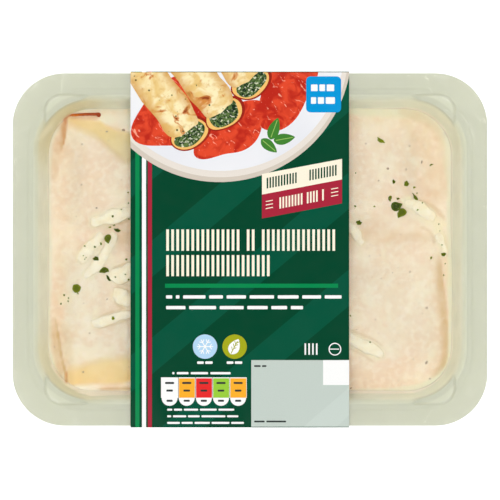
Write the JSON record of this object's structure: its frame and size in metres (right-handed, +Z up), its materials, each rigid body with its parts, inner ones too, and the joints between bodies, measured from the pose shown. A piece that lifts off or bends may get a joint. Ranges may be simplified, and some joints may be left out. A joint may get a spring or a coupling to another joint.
{
  "type": "chilled cannelloni ready meal in a sleeved tray",
  "caption": "Shallow rounded tray of filled pasta rolls under white sauce and cheese, sealed with clear film and wrapped by a board sleeve.",
  "frame": {"origin": "on the surface the pack stands on, under the middle of the tray", "axes": "+X along the tray's long side, +Y across it, +Z up through the film"},
  "size_m": [0.187, 0.1402, 0.0371],
  "materials": {
    "tray_plastic": "satin cream-green crystallised plastic",
    "film": "clear glossy lidding film",
    "board": "printed and varnished carton board",
    "pasta": "soft moist cooked pasta",
    "tomato": "wet tomato sauce",
    "white_sauce": "smooth moist white sauce",
    "cheese": "soft grated cheese"
  },
  "bodies": {
    "root": {"tray": "tray_plastic", "film": "film", "sleeve": "board", "tomato_sauce": "tomato", "cannelloni_upper": "pasta", "cannelloni_lower": "pasta", "bechamel": "white_sauce", "cheese_shred_01": "cheese", "cheese_shred_02": "cheese", "cheese_shred_03": "cheese", "cheese_shred_04": "cheese", "cheese_shred_05": "cheese", "cheese_shred_06": "cheese", "cheese_shred_07": "cheese", "cheese_shred_08": "cheese", "cheese_shred_09": "cheese", "cheese_shred_10": "cheese", "cheese_shred_11": "cheese", "cheese_shred_12": "cheese", "cheese_shred_13": "cheese", "cheese_shred_14": "cheese", "cheese_shred_15": "cheese"}
  },
  "joints": []
}
